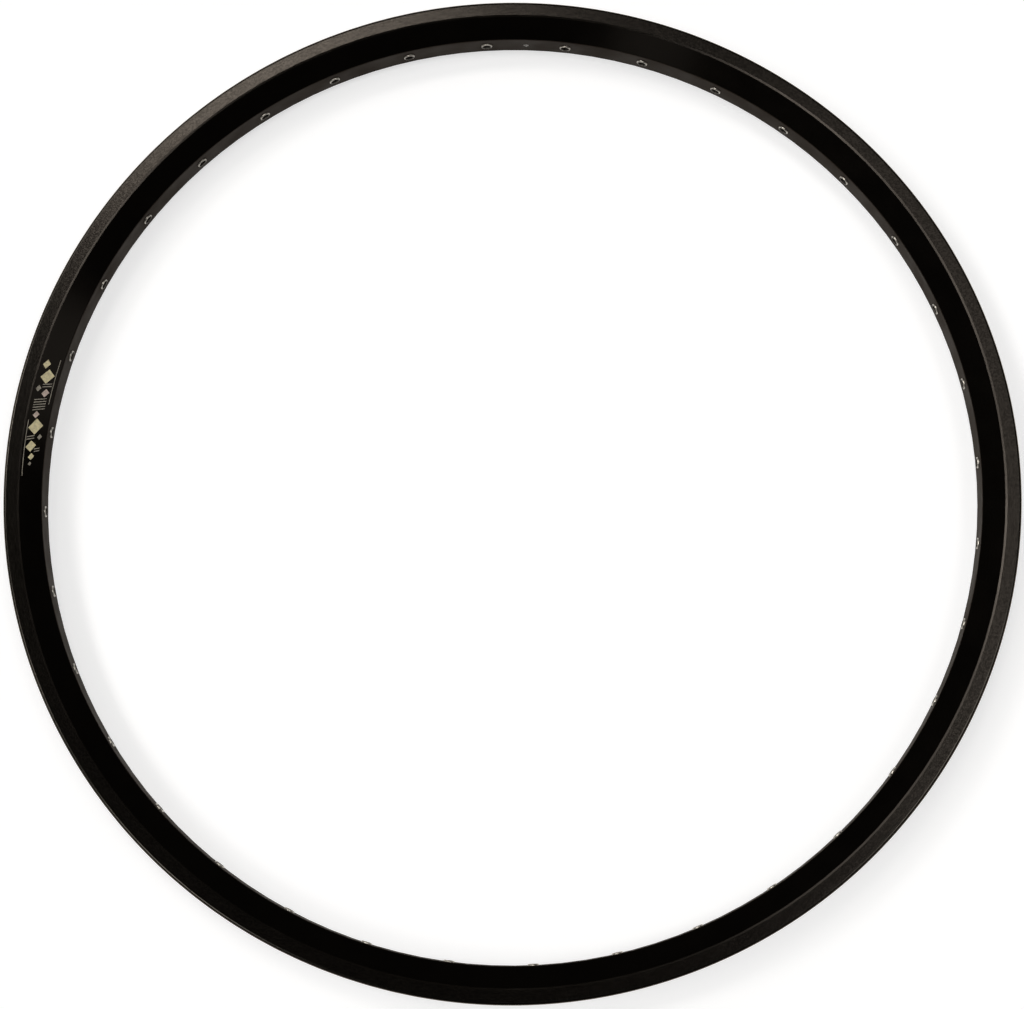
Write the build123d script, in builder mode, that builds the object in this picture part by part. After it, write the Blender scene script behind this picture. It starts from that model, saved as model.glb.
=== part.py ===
from build123d import *
import math
import os

# A bare double-wall bicycle rim that lies flat: its axle line is Z and its middle plane is z = 0.
# Sizes are in millimetres. Section sketches have the radius along x and the height along y.

# Ring
bead_seat_diameter = 559.0
flange_height = 6.0
rim_depth = 20.6
rim_width = 32.5

# Flanges with hooks for the tyre beads
flange_wall = 2.4
lip_radius = 1.7
hook_overhang = 1.35
hook_height = 1.9
hook_taper = 1.2
hook_bevel = 0.7

# Brake tracks, sidewalls and spoke bed
track_height = 8.0
shoulder_run = 1.1
shoulder_drop = 0.4
side_wall = 1.7
bed_width = 17.2
bed_wall = 2.3
bed_corner_radius = 1.0

# Tyre well between the bead seats
shelf_width = 5.0
well_depth = 3.0
well_slope_run = 3.0
bridge_wall = 1.6

# Holes through the spoke bed and the tyre well
spoke_count = 36
access_hole_diameter = 8.0
valve_hole_diameter = 8.5
weep_hole_diameter = 2.8

# Eyelets
eyelet_bore_diameter = 4.4
eyelet_tube_wall = 0.35
eyelet_flange_diameter = 6.4
eyelet_flange_height = 0.8
eyelet_rolled_edge = 0.45
eyelet_flare_diameter = 6.2
eyelet_flare_height = 0.9
eyelet_clearance = 0.05

# Radii and heights that follow from the sizes above
bead_seat_radius = bead_seat_diameter / 2
tip_radius = bead_seat_radius + flange_height
bed_radius = tip_radius - rim_depth
half_width = rim_width / 2
half_bed = bed_width / 2
flange_inside = half_width - flange_wall
hook_inside = flange_inside - hook_overhang
track_radius = tip_radius - track_height
shoulder_radius = track_radius - shoulder_run
side_top = half_width - shoulder_drop
shelf_inside = flange_inside - shelf_width
well_radius = bead_seat_radius - well_depth
half_well = shelf_inside - well_slope_run

# Walls of the hollow box, parallel to the sidewall and to the slope of the well
side_lean = (side_top - half_bed) / (shoulder_radius - bed_radius)
side_wall_run = side_wall * math.hypot(1, side_lean)
well_lean = well_slope_run / well_depth
bridge_run = bridge_wall * math.hypot(1, well_lean)
floor_radius = bed_radius + bed_wall
shelf_under_radius = bead_seat_radius - bridge_wall
well_under_radius = well_radius - bridge_wall
box_floor_half = half_bed + side_lean * (floor_radius - bed_radius) - side_wall_run
box_top_half = half_bed + side_lean * (shelf_under_radius - bed_radius) - side_wall_run
slope_top_half = shelf_inside - well_lean * bridge_wall + bridge_run
slope_foot_half = half_well - well_lean * bridge_wall + bridge_run

# The spokes stand half a pitch from the X axis, which leaves the valve at -Y and the weep hole at +Y
spoke_pitch = 360 / spoke_count
first_spoke = spoke_pitch / 2
eyelet_tube_diameter = eyelet_bore_diameter + 2 * eyelet_tube_wall
bed_hole_diameter = eyelet_tube_diameter + 2 * eyelet_clearance
box_middle_radius = (floor_radius + well_under_radius) / 2
bed_cut_length = 2 * (box_middle_radius - bed_radius)
bridge_cut_length = 2 * (well_radius - box_middle_radius)
valve_angle = 270
weep_angle = 90
radial = (0, 90, 0)

# Rim hoop: one extrusion bent to a closed ring, hollow under the tyre well
with BuildPart() as rim_hoop:
    with BuildSketch(Plane.XZ) as section:
        with BuildLine() as outline:
            Polyline(
                (bed_radius, 0),
                (bed_radius, half_bed),
                (shoulder_radius, side_top),
                (track_radius, half_width),
                (tip_radius, half_width),
                (tip_radius, hook_inside + hook_bevel),
                (tip_radius - hook_bevel, hook_inside),
                (tip_radius - hook_height, hook_inside),
                (tip_radius - hook_height - hook_taper, flange_inside),
                (bead_seat_radius, flange_inside),
                (bead_seat_radius, shelf_inside),
                (well_radius, half_well),
                (well_radius, 0),
            )
            mirror(about=Plane.XZ)
        make_face()
        tip_corners = section.vertices().group_by(Axis.X)[-1].sort_by(Axis.Y)
        fillet((tip_corners[0], tip_corners[-1]), radius=lip_radius)
        bed_corners = section.vertices().group_by(Axis.X)[0]
        fillet(bed_corners, radius=bed_corner_radius)
        with BuildLine() as box_outline:
            Polyline(
                (floor_radius, 0),
                (floor_radius, box_floor_half),
                (shelf_under_radius, box_top_half),
                (shelf_under_radius, slope_top_half),
                (well_under_radius, slope_foot_half),
                (well_under_radius, 0),
            )
            mirror(about=Plane.XZ)
        make_face(mode=Mode.SUBTRACT)
    revolve(axis=Axis.Z)
    with PolarLocations(bed_radius, spoke_count, start_angle=first_spoke):
        Cylinder(bed_hole_diameter / 2, bed_cut_length, rotation=radial, mode=Mode.SUBTRACT)
    with PolarLocations(well_radius, spoke_count, start_angle=first_spoke):
        Cylinder(access_hole_diameter / 2, bridge_cut_length, rotation=radial, mode=Mode.SUBTRACT)
    with PolarLocations(box_middle_radius, 1, start_angle=valve_angle):
        Cylinder(valve_hole_diameter / 2, 2 * rim_depth, rotation=radial, mode=Mode.SUBTRACT)
    with PolarLocations(bed_radius, 1, start_angle=weep_angle):
        Cylinder(weep_hole_diameter / 2, bed_cut_length, rotation=radial, mode=Mode.SUBTRACT)

rim_hoop.part.label = "rim_hoop"

# One eyelet on the X axis. Its flange is flat and the bed is curved, so the flange seats on its two outer points
flange_radius = eyelet_flange_diameter / 2
bore_radius = eyelet_bore_diameter / 2
tube_radius = eyelet_tube_diameter / 2
seat = math.sqrt(bed_radius**2 - flange_radius**2)
flange_face = seat - eyelet_flange_height
flare_start = floor_radius + eyelet_clearance
flare_end = flare_start + eyelet_flare_height
with BuildPart() as eyelet:
    with BuildSketch(Plane.XY) as eyelet_section:
        with BuildLine():
            Polyline(
                (seat, flange_radius),
                (flange_face, flange_radius - eyelet_rolled_edge),
                (flange_face, bore_radius + eyelet_tube_wall),
                (flange_face + eyelet_rolled_edge, bore_radius),
                (flare_start, bore_radius),
                (flare_end, eyelet_flare_diameter / 2),
                (flare_start, tube_radius),
                (seat, tube_radius),
                close=True,
            )
        make_face()
    revolve(axis=Axis.X)

# Spoke eyelets: one in each spoke hole of the bed
with BuildPart() as spoke_eyelets:
    with PolarLocations(0, spoke_count, start_angle=first_spoke):
        add(eyelet.part)

spoke_eyelets.part.label = "spoke_eyelets"

os.makedirs("parts", exist_ok=True)
export_step(rim_hoop.part, "parts/rim_hoop.step")
export_step(spoke_eyelets.part, "parts/spoke_eyelets.step")
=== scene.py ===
import math

import bmesh
import bpy
from mathutils import Matrix, Vector


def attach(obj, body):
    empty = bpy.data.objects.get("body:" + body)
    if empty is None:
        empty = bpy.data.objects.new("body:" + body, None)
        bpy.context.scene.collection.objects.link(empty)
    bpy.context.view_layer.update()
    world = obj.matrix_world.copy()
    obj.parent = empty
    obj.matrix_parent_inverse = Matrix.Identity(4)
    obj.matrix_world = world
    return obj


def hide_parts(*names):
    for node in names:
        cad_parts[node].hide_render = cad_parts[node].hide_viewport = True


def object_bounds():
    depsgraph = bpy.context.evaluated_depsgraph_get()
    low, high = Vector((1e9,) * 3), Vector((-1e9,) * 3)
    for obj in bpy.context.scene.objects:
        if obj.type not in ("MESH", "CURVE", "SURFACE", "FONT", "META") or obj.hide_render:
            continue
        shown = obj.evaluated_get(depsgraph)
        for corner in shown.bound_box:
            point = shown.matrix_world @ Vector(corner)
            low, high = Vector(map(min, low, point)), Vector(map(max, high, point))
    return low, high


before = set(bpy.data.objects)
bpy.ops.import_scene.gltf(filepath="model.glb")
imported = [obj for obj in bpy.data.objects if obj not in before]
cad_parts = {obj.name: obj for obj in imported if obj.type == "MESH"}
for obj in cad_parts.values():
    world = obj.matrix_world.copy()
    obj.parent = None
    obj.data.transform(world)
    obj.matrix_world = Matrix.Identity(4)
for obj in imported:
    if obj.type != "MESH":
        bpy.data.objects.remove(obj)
cad_low, cad_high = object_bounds()

MM = 0.001
WHITE = (1.0, 1.0, 1.0)

# Section of the rim, in millimetres: radius from the axle line and height from the middle plane
BED_RADIUS = 264.9
BED_HALF = 8.6
SHOULDER_RADIUS = 276.4
TRACK_RADIUS = 277.5
SIDE_TOP = 15.85
TRACK_TOP = 16.25
WELL_UNDER_RADIUS = 274.9
FLANGE_INSIDE = 13.85
WEEP_HOLE_RADIUS = 1.4
WEEP_HOLE_END = 267.1

# Roundings of the section, in millimetres: the flange's lip, and the bed's corner up to the sidewall
LIP_CENTRE = (283.8, 14.55)
LIP_RADIUS = 1.7
BED_CORNER_CENTRE = (265.9, 8.048)
BED_CORNER_END = 265.367

# Fine rings on the lips: how far they lie inside the lip, in millimetres, and their faces
LIP_INSET = 0.02
LIP_SIDES = 480
LIP_STEPS = 10

# Eyelets: places along the spoke line and radii from it, in millimetres, and their faces
EYELET_COUNT = 36
EYELET_SEAT = 264.88
EYELET_FACE = 264.08
EYELET_ROLL = 0.45
EYELET_FLARE_START = 267.25
EYELET_FLARE_END = 268.15
EYELET_BORE = 2.2
EYELET_TUBE = 2.55
EYELET_RIM = 3.2
EYELET_FLARE = 3.1
EYELET_SIDES = 40
EYELET_ROLL_STEPS = 5
SHARP_ANGLE = math.radians(40)
# Material numbers of the eyelets
LIP, BORE = 0, 1

# Printed band on the upper sidewall. Places run along the wall from the band's middle and up the slope
# from the bed's edge, in millimetres. The lean is how far along the print slants for each millimetre up
BAND_ANGLE = math.radians(172.6)
BAND_RADIUS = 271.0
BAND_LEAN = 0.35
INK_HEIGHT = 0.06
INK_DEPTH = 0.04
INK_STEP = 2.0
TIP_HALF = 0.1
HATCH_WIDTH = 0.55
HATCH_PITCH = 1.5
# Material numbers of the inks
CREAM, ROSE, GREY = 0, 1, 2
# Lozenges: middle along and up, half length, half height and ink
LOZENGES = (
    (-28.5, 9.6, 2.6, 2.2, CREAM),
    (-21.0, 7.2, 4.2, 4.0, CREAM),
    (-14.2, 10.6, 1.8, 1.6, GREY),
    (-11.0, 6.0, 2.4, 2.2, ROSE),
    (1.5, 8.6, 2.0, 1.9, ROSE),
    (8.6, 7.6, 4.6, 4.2, CREAM),
    (15.2, 4.4, 1.6, 1.4, GREY),
    (19.8, 8.8, 3.2, 3.0, CREAM),
    (26.0, 8.0, 1.9, 1.8, CREAM),
    (30.0, 8.4, 1.1, 1.0, GREY),
)
# Hatches of thin lines: first line's place, number of lines, low end and high end
HATCHES = (
    (-16.6, 2, 3.4, 8.6),
    (-7.8, 5, 4.4, 11.4),
    (13.6, 2, 7.4, 11.8),
    (21.6, 2, 3.6, 6.6),
)
# Stripes along the wall: left end, right end, low edge and high edge
STRIPES = (
    (-31.0, -4.0, 2.3, 2.7),
    (4.0, 36.0, 12.2, 12.6),
)

# Finishes of the hoop: linear colours and roughness
SIDE_COLOUR = (0.0012, 0.0009, 0.0006)
TRACK_COLOUR = (0.0010, 0.0008, 0.0006)
# The bed is lighter and warmer than the other black: partly its own tone, partly a painted warm reflection
BED_TONE_AND_REFLECTION = (0.0125, 0.0085, 0.0054)
WELL_COLOUR = (0.0050, 0.0045, 0.0040)
LIP_COLOUR = (0.030, 0.027, 0.023)
BARE_COLOUR = (0.90, 0.88, 0.85)
SIDE_ROUGHNESS = 0.15
SHOULDER_ROUGHNESS = 0.21
TRACK_ROUGHNESS = 0.184
BED_ROUGHNESS = 0.75
WELL_ROUGHNESS = 0.32
BARE_ROUGHNESS = 0.60
HOOP_SPECULAR = 0.25
HOOP_TINT = (1.0, 0.88, 0.76)

# Dullness of the hoop: the share of near-black metal in the surface, which takes its gloss down
SIDE_DULLNESS = 0.30
SHOULDER_DULLNESS = 0.0
TRACK_DULLNESS = 0.46

# Where the finishes change: two heights or radii that each change runs between, in millimetres
TRACK_EDGE = (TRACK_TOP - 0.06, TRACK_TOP - 0.01)
BEVEL_EDGE = (SIDE_TOP, SIDE_TOP + 0.04)
BED_EDGE = (BED_RADIUS + 0.10, BED_RADIUS + 0.35)
WELL_EDGE = (WELL_UNDER_RADIUS - 0.6, WELL_UNDER_RADIUS)
FLANGE_EDGE = (FLANGE_INSIDE + 0.05, FLANGE_INSIDE + 0.3)
WEEP_HOLE_EDGE = (WEEP_HOLE_RADIUS + 0.06, WEEP_HOLE_RADIUS + 0.10)

# Noise on the hoop: scale and detail, over places in metres or, for the grooves, the radius in millimetres
MOTTLE = (55.0, 3.0)
GRAIN = (1100.0, 3.0)
GROOVES = (5.0, 3.0)
SPECKLE = (1150.0, 0.0)
# What noise does to the hoop: its low and high value, and what they become
MOTTLE_ON_COLOUR = (0.25, 0.75, 0.75, 1.3)
NOISE_ON_ROUGHNESS = (0.2, 0.8, 0.85, 1.15)
SPECKLE_ON_DULLNESS = (0.36, 0.64, 0.0, TRACK_DULLNESS)
# Relief of the hoop: shares of its noises, and the bump's strength and depth in metres
GROOVE_RELIEF = 0.5
SIDE_RELIEF = 0.05
BED_RELIEF = 0.2
HOOP_BUMP = (0.30, 0.00004)

# Steel of the eyelets: dull colour, bright colour, lowest and highest roughness
PLATED_STEEL = ((0.42, 0.39, 0.34), (0.58, 0.55, 0.49), 0.26, 0.42)
# The bores' steel is far darker than the lip's: painted shade inside the tube, not a worn finish
SHADED_BORE_STEEL = ((0.05, 0.045, 0.04), (0.11, 0.10, 0.085), 0.45, 0.60)
# Noise on the steel, the range of it that counts, and the bump's strength and depth in metres
STEEL_PATCHES = (420.0, 3.0)
STEEL_SCRATCHES = (2600.0, 2.0)
PATCHES_ON_STEEL = (0.3, 0.7)
SCRATCHES_ON_STEEL = (0.25, 0.75)
STEEL_BUMP = (0.1, 0.00002)

# Inks of the printed band: name, colour and the share of it that wear leaves
INKS = (
    ("cream_ink", (0.76, 0.68, 0.42), 0.72),
    ("rose_ink", (0.64, 0.52, 0.45), 0.72),
    ("grey_ink", (0.36, 0.33, 0.27), 0.60),
)
# Noise on the inks, what it does to them, and the bump's strength and depth in metres
INK_PATCHES = (700.0, 4.0)
INK_GRAIN = (3200.0, 2.0)
PATCHES_ON_INK = (0.3, 0.7)
GRAIN_ON_INK = (0.2, 0.8, 0.9, 1.08)
GRAIN_ON_INK_ROUGHNESS = (0.25, 0.75, 0.38, 0.55)
INK_SPECULAR = 0.3
INK_BUMP = (0.1, 0.00001)

# Sun lamps: direction towards the lamp, irradiance, angular diameter in degrees and colour
SOFT_WHITE = (1.0, 0.98, 0.96)
LAMPS = {
    "key": ((-0.160, 0.400, 1.0), 0.324, 10.5, (1.0, 0.97, 0.93)),
    "right_high": ((0.216, 0.265, 1.0), 0.142, 18.3, (1.0, 0.97, 0.94)),
    "left_1": ((-0.537, 0.577, 1.0), 0.311, 20.5, SOFT_WHITE),
    "left_2": ((-0.698, 0.280, 1.0), 0.493, 11.1, SOFT_WHITE),
    "left_3": ((-0.609, -0.043, 1.0), 0.313, 12.7, SOFT_WHITE),
    "left_4": ((-0.437, -0.317, 1.0), 0.493, 15.3, SOFT_WHITE),
    "right_front": ((0.324, -0.011, 1.0), 0.440, 15.0, SOFT_WHITE),
    "far_left": ((-0.260, -0.645, 0.718), 0.010, 9.0, SOFT_WHITE),
    "far_right": ((0.754, -0.007, 0.656), 0.03, 14.0, SOFT_WHITE),
}

# Room and floor: the sky's strength changes between two heights of its unit sphere
SKY_EDGE = (0.04, 0.16)
SKY_LOW = 0.9
SKY_OVERHEAD = 0.05
FLOOR_COLOUR = (0.48, 0.48, 0.48)
FLOOR_ROUGHNESS = 0.9
FLOOR_GLOW = 0.66
FLOOR_RADIUS = 30.0
FLOOR_SIDES = 96

# Camera over the rim: place and reach in metres, turn in degrees, lens and sensor in millimetres
CAMERA_PLACE = (0.03704, -0.23808, 1.32124)
CAMERA_TURN = (11.551, 2.089, 2.320)
CAMERA_LENS = 83.2
CAMERA_SENSOR = 36.0
CAMERA_SHIFT = (0.0386, -0.0685)
CAMERA_REACH = 200.0


class Tree:
    """A node tree that is built from sockets and plain numbers."""

    # A mix node has its own sockets for each kind of data: the first of two inputs, and the output
    MIX_SOCKETS = {"FLOAT": (2, 0), "VECTOR": (4, 1), "RGBA": (6, 2)}

    def __init__(self, tree):
        self.tree = tree
        tree.nodes.clear()

    def add(self, kind, **settings):
        made = self.tree.nodes.new(kind)
        for name, value in settings.items():
            setattr(made, name, value)
        return made

    def feed(self, socket, value):
        if isinstance(value, bpy.types.NodeSocket):
            self.tree.links.new(value, socket)
        elif isinstance(value, tuple) and len(value) == 3 and socket.type == "RGBA":
            socket.default_value = (*value, 1.0)
        else:
            socket.default_value = value

    def math(self, operation, *values, clamp=False):
        made = self.add("ShaderNodeMath", operation=operation, use_clamp=clamp)
        for socket, value in zip(made.inputs, values):
            self.feed(socket, value)
        return made.outputs[0]

    def above(self, value, limit):
        return self.math("GREATER_THAN", value, limit)

    def below(self, value, limit):
        return self.math("LESS_THAN", value, limit)

    def both(self, first, second):
        return self.math("MULTIPLY", first, second)

    def ramp(self, value, start, end, low=0.0, high=1.0):
        made = self.add("ShaderNodeMapRange", interpolation_type="SMOOTHSTEP")
        names = ("Value", "From Min", "From Max", "To Min", "To Max")
        for name, given in zip(names, (value, start, end, low, high)):
            self.feed(made.inputs[name], given)
        return made.outputs[0]

    def mix(self, kind, share, first, second):
        made = self.add("ShaderNodeMix", data_type=kind)
        start, end = self.MIX_SOCKETS[kind]
        self.feed(made.inputs[0], share)
        self.feed(made.inputs[start], first)
        self.feed(made.inputs[start + 1], second)
        return made.outputs[end]

    def mix_colour(self, share, first, second):
        return self.mix("RGBA", share, first, second)

    def mix_value(self, share, first, second):
        return self.mix("FLOAT", share, first, second)

    def mix_vector(self, share, first, second):
        return self.mix("VECTOR", share, first, second)

    def scale(self, colour, share):
        made = self.add("ShaderNodeVectorMath", operation="SCALE")
        self.feed(made.inputs[0], colour)
        self.feed(made.inputs["Scale"], share)
        return made.outputs[0]

    def noise(self, place, scale, detail, dimensions="3D"):
        made = self.add("ShaderNodeTexNoise", noise_dimensions=dimensions)
        self.feed(made.inputs["W" if dimensions == "1D" else "Vector"], place)
        made.inputs["Scale"].default_value = scale
        made.inputs["Detail"].default_value = detail
        return made.outputs["Fac"]

    def bump(self, height, strength, distance, normal=None):
        made = self.add("ShaderNodeBump")
        if normal:
            self.feed(made.inputs["Normal"], normal)
        made.inputs["Strength"].default_value = strength
        made.inputs["Distance"].default_value = distance
        self.feed(made.inputs["Height"], height)
        return made.outputs[0]

    def place(self):
        """Object coordinates, which are the part's own, in metres."""
        return self.add("ShaderNodeTexCoord").outputs["Object"]

    def split(self, vector):
        made = self.add("ShaderNodeSeparateXYZ")
        self.feed(made.inputs[0], vector)
        return made.outputs

    def distance(self, first, second):
        """The distance in millimetres from the line where two coordinates in metres are zero."""
        squares = self.math("ADD", self.math("POWER", first, 2.0), self.math("POWER", second, 2.0))
        return self.math("DIVIDE", self.math("SQRT", squares), MM)

    def rounding(self, spot, radius, height, centre):
        """The normal of a rounding of the section about a centre at a radius and a height."""
        x, y, z = spot
        out = self.math("DIVIDE", self.math("SUBTRACT", radius, centre[0]), radius)
        up = self.math("SUBTRACT", height, centre[1])
        made = self.add("ShaderNodeCombineXYZ")
        self.feed(made.inputs[0], self.math("MULTIPLY", self.math("DIVIDE", x, MM), out))
        self.feed(made.inputs[1], self.math("MULTIPLY", self.math("DIVIDE", y, MM), out))
        self.feed(made.inputs[2], self.math("MULTIPLY", up, self.math("SIGN", z)))
        unit = self.add("ShaderNodeVectorMath", operation="NORMALIZE")
        self.feed(unit.inputs[0], made.outputs[0])
        return unit.outputs[0]

    def shade(self, **inputs):
        made = self.add("ShaderNodeBsdfPrincipled")
        for name, value in inputs.items():
            self.feed(made.inputs[name.replace("_", " ")], value)
        end = self.add("ShaderNodeOutputMaterial")
        self.feed(end.inputs["Surface"], made.outputs[0])


def new_material(name):
    made = bpy.data.materials.new(name)
    made.use_nodes = True
    return made, Tree(made.node_tree)


def put_on(piece, *materials):
    """Gives a piece its materials.

    A piece's own are cleared only where it has some, since that resets the faces' material numbers.
    """
    if piece.data.materials:
        piece.data.materials.clear()
    for material in materials:
        piece.data.materials.append(material)


def hoop_material():
    """Black anodised aluminium with a finish for each part of the section.

    The brake tracks are turned, the sidewalls are glossy, the bed is satin and the drilled weep hole is bare.
    The bed's lighter, warm brown colour is partly its own dark tone and partly a painted warm reflection.
    """
    material, tree = new_material("black_anodised_rim")
    place = tree.place()
    x, y, z = tree.split(place)
    radius = tree.distance(x, y)
    height = tree.math("DIVIDE", tree.math("ABSOLUTE", z), MM)

    # Where each finish is
    track = tree.ramp(height, *TRACK_EDGE)
    shoulder = tree.both(tree.ramp(height, *BEVEL_EDGE), tree.below(radius, TRACK_RADIUS))
    bed = tree.ramp(radius, *BED_EDGE, 1.0, 0.0)
    between_flanges = tree.ramp(height, *FLANGE_EDGE, 1.0, 0.0)
    well = tree.both(tree.ramp(radius, *WELL_EDGE), between_flanges)
    drilled = tree.ramp(tree.distance(x, z), *WEEP_HOLE_EDGE, 1.0, 0.0)
    bare = tree.both(drilled, tree.both(tree.below(radius, WEEP_HOLE_END), tree.above(y, 0.0)))
    on_lip = tree.both(tree.above(radius, LIP_CENTRE[0]), tree.above(height, LIP_CENTRE[1]))
    on_corner = tree.both(tree.below(radius, BED_CORNER_END), tree.above(height, BED_CORNER_CENTRE[1]))

    mottle = tree.noise(place, *MOTTLE)
    grain = tree.noise(place, *GRAIN)
    grooves = tree.noise(radius, *GROOVES, "1D")
    speckle = tree.noise(place, *SPECKLE)

    colour = tree.mix_colour(track, SIDE_COLOUR, TRACK_COLOUR)
    # On the bed the colour is partly a painted warm reflection
    colour = tree.mix_colour(bed, colour, BED_TONE_AND_REFLECTION)
    colour = tree.mix_colour(well, colour, WELL_COLOUR)
    colour = tree.scale(colour, tree.ramp(mottle, *MOTTLE_ON_COLOUR))
    colour = tree.mix_colour(bare, colour, BARE_COLOUR)
    colour = tree.mix_colour(on_lip, colour, LIP_COLOUR)

    roughness = tree.mix_value(shoulder, SIDE_ROUGHNESS, SHOULDER_ROUGHNESS)
    roughness = tree.mix_value(track, roughness, TRACK_ROUGHNESS)
    roughness = tree.mix_value(bed, roughness, BED_ROUGHNESS)
    roughness = tree.mix_value(well, roughness, WELL_ROUGHNESS)
    roughness = tree.mix_value(bare, roughness, BARE_ROUGHNESS)
    spread = tree.ramp(tree.mix_value(track, mottle, grain), *NOISE_ON_ROUGHNESS)

    dull = tree.mix_value(shoulder, SIDE_DULLNESS, SHOULDER_DULLNESS)
    dull = tree.mix_value(track, dull, tree.ramp(speckle, *SPECKLE_ON_DULLNESS))
    dull = tree.mix_value(bare, dull, 0.0)

    # The roundings have few faces, so their normals come from the section
    normal = tree.add("ShaderNodeNewGeometry").outputs["Normal"]
    normal = tree.mix_vector(on_lip, normal, tree.rounding((x, y, z), radius, height, LIP_CENTRE))
    normal = tree.mix_vector(on_corner, normal, tree.rounding((x, y, z), radius, height, BED_CORNER_CENTRE))
    cut = tree.math("ADD", tree.math("MULTIPLY", grooves, GROOVE_RELIEF), grain)
    turned = tree.math("MULTIPLY", cut, track)
    satin = tree.math("MULTIPLY", grain, tree.mix_value(bed, SIDE_RELIEF, BED_RELIEF))

    tree.shade(
        Base_Color=colour,
        Roughness=tree.math("MULTIPLY", roughness, spread),
        Metallic=tree.math("MAXIMUM", on_lip, dull),
        Specular_IOR_Level=HOOP_SPECULAR,
        Specular_Tint=HOOP_TINT,
        Normal=tree.bump(tree.math("ADD", turned, satin), *HOOP_BUMP, normal),
    )
    return material


def eyelet_material(name, dull, bright, smooth, rough):
    """Plated steel with a soft polish, duller in patches."""
    material, tree = new_material(name)
    place = tree.place()
    patches = tree.noise(place, *STEEL_PATCHES)
    scratches = tree.noise(place, *STEEL_SCRATCHES)
    tree.shade(
        Base_Color=tree.mix_colour(tree.ramp(patches, *PATCHES_ON_STEEL), dull, bright),
        Roughness=tree.ramp(scratches, *SCRATCHES_ON_STEEL, smooth, rough),
        Metallic=1.0,
        Normal=tree.bump(scratches, *STEEL_BUMP),
    )
    return material


def ink_material(name, colour, worn):
    """Printed ink that is thinner in patches and has a fine grain."""
    material, tree = new_material(name)
    place = tree.place()
    patches = tree.noise(place, *INK_PATCHES)
    grain = tree.noise(place, *INK_GRAIN)
    wear = tree.ramp(patches, *PATCHES_ON_INK, worn, 1.0)
    share = tree.math("MULTIPLY", wear, tree.ramp(grain, *GRAIN_ON_INK))
    tree.shade(
        Base_Color=tree.scale(colour, share),
        Roughness=tree.ramp(grain, *GRAIN_ON_INK_ROUGHNESS),
        Specular_IOR_Level=INK_SPECULAR,
        Normal=tree.bump(grain, *INK_BUMP),
    )
    return material


def floor_material():
    """A pale floor that the camera and reflections see as white, with the rim's shadow kept."""
    material, tree = new_material("pale_floor")
    rays = tree.add("ShaderNodeLightPath").outputs
    seen = tree.math("ADD", rays["Is Camera Ray"], rays["Is Glossy Ray"])
    seen = tree.math("ADD", seen, rays["Is Transmission Ray"], clamp=True)
    tree.shade(
        Base_Color=FLOOR_COLOUR,
        Roughness=FLOOR_ROUGHNESS,
        Specular_IOR_Level=0.0,
        Emission_Color=WHITE,
        Emission_Strength=tree.math("MULTIPLY", seen, FLOOR_GLOW),
    )
    return material


def new_piece(name, shape):
    mesh = bpy.data.meshes.new(name)
    shape.to_mesh(mesh)
    shape.free()
    made = bpy.data.objects.new(name, mesh)
    bpy.context.scene.collection.objects.link(made)
    return made


def smooth_piece(name, shape):
    """A piece whose closed form is smooth apart from its sharp edges."""
    bmesh.ops.recalc_face_normals(shape, faces=shape.faces)
    for face in shape.faces:
        face.smooth = True
    for edge in shape.edges:
        edge.smooth = edge.calc_face_angle() < SHARP_ANGLE
    return new_piece(name, shape)


def arc(start, end, steps):
    """A quarter ellipse from start to end that leaves start along the first axis."""
    points = []
    for step in range(steps + 1):
        turn = math.pi / 2 * step / steps
        first = start[0] + (end[0] - start[0]) * math.sin(turn)
        second = start[1] + (end[1] - start[1]) * (1 - math.cos(turn))
        points.append((first, second))
    return points


def add_turned(shape, profile, sides, axis):
    """Turns a closed profile about a line and returns the faces, one list for each step of the profile.

    The profile has places along the line and radii from it. The line is X, carried to its place by a matrix.
    """
    rings = []
    for along, away in profile:
        ring = []
        for side in range(sides):
            angle = 2 * math.pi * side / sides
            spot = Vector((along, away * math.cos(angle), away * math.sin(angle)))
            ring.append(shape.verts.new(axis @ spot * MM))
        rings.append(ring)
    bands = []
    for ring, following in zip(rings, rings[1:] + rings[:1]):
        band = []
        for side in range(sides):
            after = (side + 1) % sides
            band.append(shape.faces.new((ring[side], ring[after], following[after], following[side])))
        bands.append(band)
    return bands


def eyelets():
    """All the eyelets: a rolled lip, a thin tube and a flared foot, turned about each spoke line."""
    lip_outside = EYELET_RIM - EYELET_ROLL
    roll_end = EYELET_FACE + EYELET_ROLL
    profile = arc((EYELET_SEAT, EYELET_RIM), (EYELET_FACE, lip_outside), EYELET_ROLL_STEPS)
    profile += reversed(arc((roll_end, EYELET_BORE), (EYELET_FACE, EYELET_TUBE), EYELET_ROLL_STEPS))
    profile += [
        (EYELET_FLARE_START, EYELET_BORE),
        (EYELET_FLARE_END, EYELET_FLARE),
        (EYELET_FLARE_START, EYELET_TUBE),
        (EYELET_SEAT, EYELET_TUBE),
    ]
    shape = bmesh.new()
    # The spokes stand half a pitch from the X axis
    pitch = 2 * math.pi / EYELET_COUNT
    for number in range(EYELET_COUNT):
        spoke_line = Matrix.Rotation(pitch * (number + 0.5), 3, "Z")
        bands = add_turned(shape, profile, EYELET_SIDES, spoke_line)
        for step, band in enumerate(bands):
            for face in band:
                face.material_index = LIP if step < EYELET_ROLL_STEPS else BORE
    return smooth_piece("eyelet_rings", shape)


def flange_lips():
    """The rounded outer edges of both flanges: a fine ring on each, backed inside the wall."""
    radius, height = (middle - LIP_INSET for middle in LIP_CENTRE)
    profile = [(height, radius)]
    profile += reversed(arc((height, radius + LIP_RADIUS), (height + LIP_RADIUS, radius), LIP_STEPS))
    shape = bmesh.new()
    for side in (1, -1):
        axle_line = Matrix(((0, 1, 0), (0, 0, 1), (side, 0, 0)))
        add_turned(shape, profile, LIP_SIDES, axle_line)
    return smooth_piece("flange_lips", shape)


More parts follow.
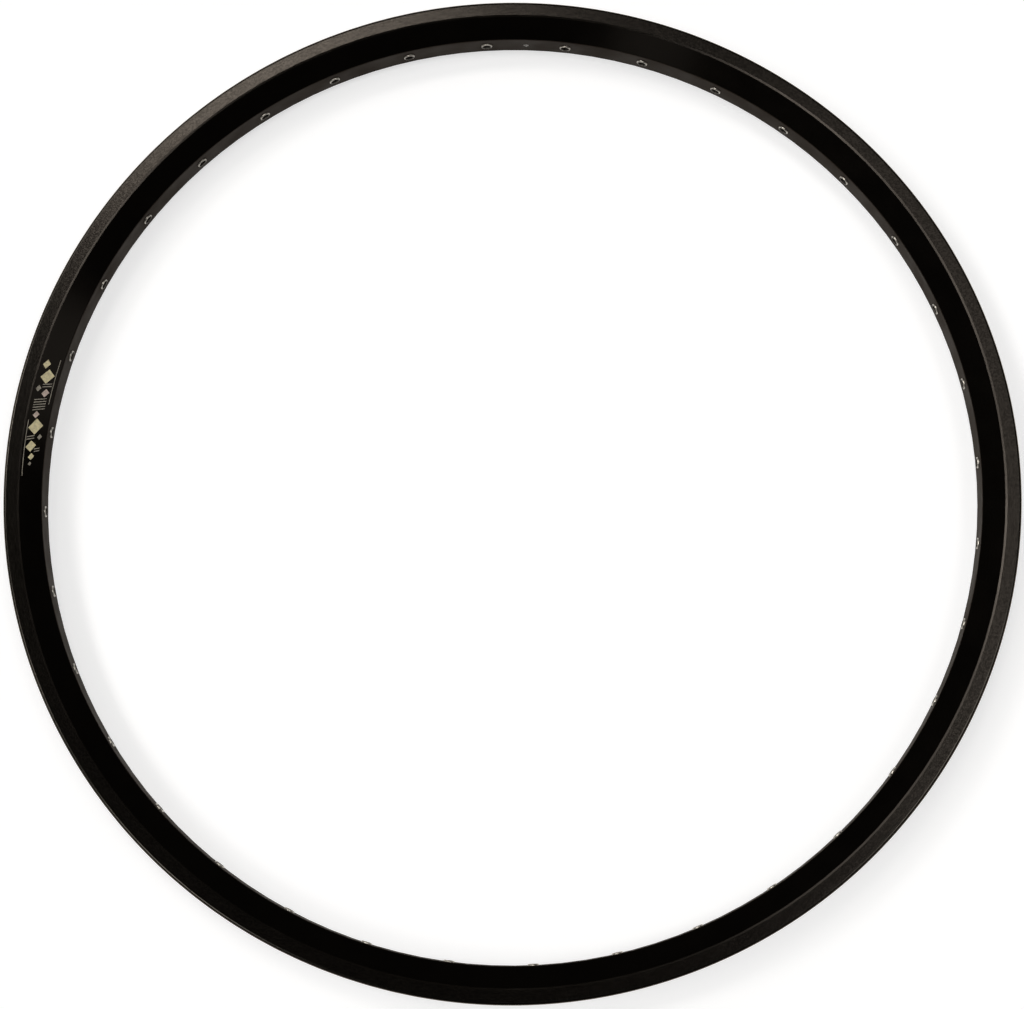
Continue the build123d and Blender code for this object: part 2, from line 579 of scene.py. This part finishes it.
def on_slope(along, up, lift):
    """A point of the printed band, lifted off the sidewall along its normal."""
    run = SHOULDER_RADIUS - BED_RADIUS
    rise = SIDE_TOP - BED_HALF
    slope = math.hypot(run, rise)
    radius = BED_RADIUS + (up * run - lift * rise) / slope
    height = BED_HALF + (up * rise + lift * run) / slope
    angle = BAND_ANGLE + along / BAND_RADIUS
    return Vector((radius * math.cos(angle), radius * math.sin(angle), height)) * MM


def add_ink(shape, stations, colour):
    """One closed slab of ink, slanted and bent round the wall.

    It runs through stations of place, low edge and high edge.
    """
    rows = []
    for along, low, high in stations:
        corners = []
        for up, lift in ((low, -INK_DEPTH), (high, -INK_DEPTH), (high, INK_HEIGHT), (low, INK_HEIGHT)):
            corners.append(shape.verts.new(on_slope(along + BAND_LEAN * up, up, lift)))
        rows.append(corners)
    made = [shape.faces.new(rows[0]), shape.faces.new(rows[-1])]
    for first, second in zip(rows, rows[1:]):
        for corner in range(4):
            after = (corner + 1) % 4
            made.append(shape.faces.new((first[corner], first[after], second[after], second[corner])))
    for face in made:
        face.material_index = colour


def printed_band():
    """Lozenges of several sizes with hatches of thin lines between them and two thin stripes."""
    shape = bmesh.new()
    for along, up, reach, tall, colour in LOZENGES:
        tip = (up - TIP_HALF, up + TIP_HALF)
        stations = [(along - reach, *tip), (along, up - tall, up + tall), (along + reach, *tip)]
        add_ink(shape, stations, colour)
    for along, count, low, high in HATCHES:
        for number in range(count):
            left = along + HATCH_PITCH * number
            add_ink(shape, [(left, low, high), (left + HATCH_WIDTH, low, high)], GREY)
    for left, right, low, high in STRIPES:
        columns = math.ceil((right - left) / INK_STEP)
        places = [left + (right - left) * column / columns for column in range(columns + 1)]
        add_ink(shape, [(place, low, high) for place in places], GREY)
    bmesh.ops.recalc_face_normals(shape, faces=shape.faces)
    return new_piece("sidewall_print", shape)


# The hoop, and its lips
anodised = hoop_material()
put_on(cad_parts["rim_hoop"], anodised)
lips = flange_lips()
put_on(lips, anodised)
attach(lips, "root")

# Eyelets, whose bores get far darker steel as painted shade inside the tube
eyelet_rings = eyelets()
put_on(
    eyelet_rings,
    eyelet_material("plated_eyelet", *PLATED_STEEL),
    eyelet_material("painted_shade_eyelet_bore", *SHADED_BORE_STEEL),
)
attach(eyelet_rings, "root")
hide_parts("spoke_eyelets")

# Printed band
band = printed_band()
put_on(band, *(ink_material(*ink) for ink in INKS))
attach(band, "root")

# Floor under the rim
disc = bmesh.new()
bmesh.ops.create_circle(disc, cap_ends=True, segments=FLOOR_SIDES, radius=FLOOR_RADIUS)
floor = new_piece("floor", disc)
floor.location = (0.0, 0.0, cad_low.z)
put_on(floor, floor_material())

# Soft lamps
for name, (towards, strength, spread, colour) in LAMPS.items():
    lamp = bpy.data.lights.new(name, "SUN")
    lamp.energy = strength
    lamp.angle = math.radians(spread)
    lamp.color = colour
    holder = bpy.data.objects.new(name, lamp)
    holder.rotation_mode = "QUATERNION"
    holder.rotation_quaternion = Vector(towards).to_track_quat("Z", "Y")
    bpy.context.scene.collection.objects.link(holder)

# A room that is pale near the floor and dark overhead
world = bpy.data.worlds.new("studio")
world.use_nodes = True
bpy.context.scene.world = world
sky = Tree(world.node_tree)
heading = sky.split(sky.add("ShaderNodeTexCoord").outputs["Generated"])
glow = sky.add("ShaderNodeBackground")
sky.feed(glow.inputs["Color"], WHITE)
sky.feed(glow.inputs["Strength"], sky.ramp(heading["Z"], *SKY_EDGE, SKY_LOW, SKY_OVERHEAD))
sky.feed(sky.add("ShaderNodeOutputWorld").inputs["Surface"], glow.outputs[0])

# Camera
camera_data = bpy.data.cameras.new("camera")
camera_data.sensor_width = CAMERA_SENSOR
camera_data.lens = CAMERA_LENS
camera_data.shift_x, camera_data.shift_y = CAMERA_SHIFT
camera_data.clip_end = CAMERA_REACH
camera = bpy.data.objects.new("camera", camera_data)
camera.location = CAMERA_PLACE
camera.rotation_euler = [math.radians(turn) for turn in CAMERA_TURN]
bpy.context.scene.collection.objects.link(camera)
bpy.context.scene.camera = camera
bpy.context.scene.view_settings.view_transform = "Standard"
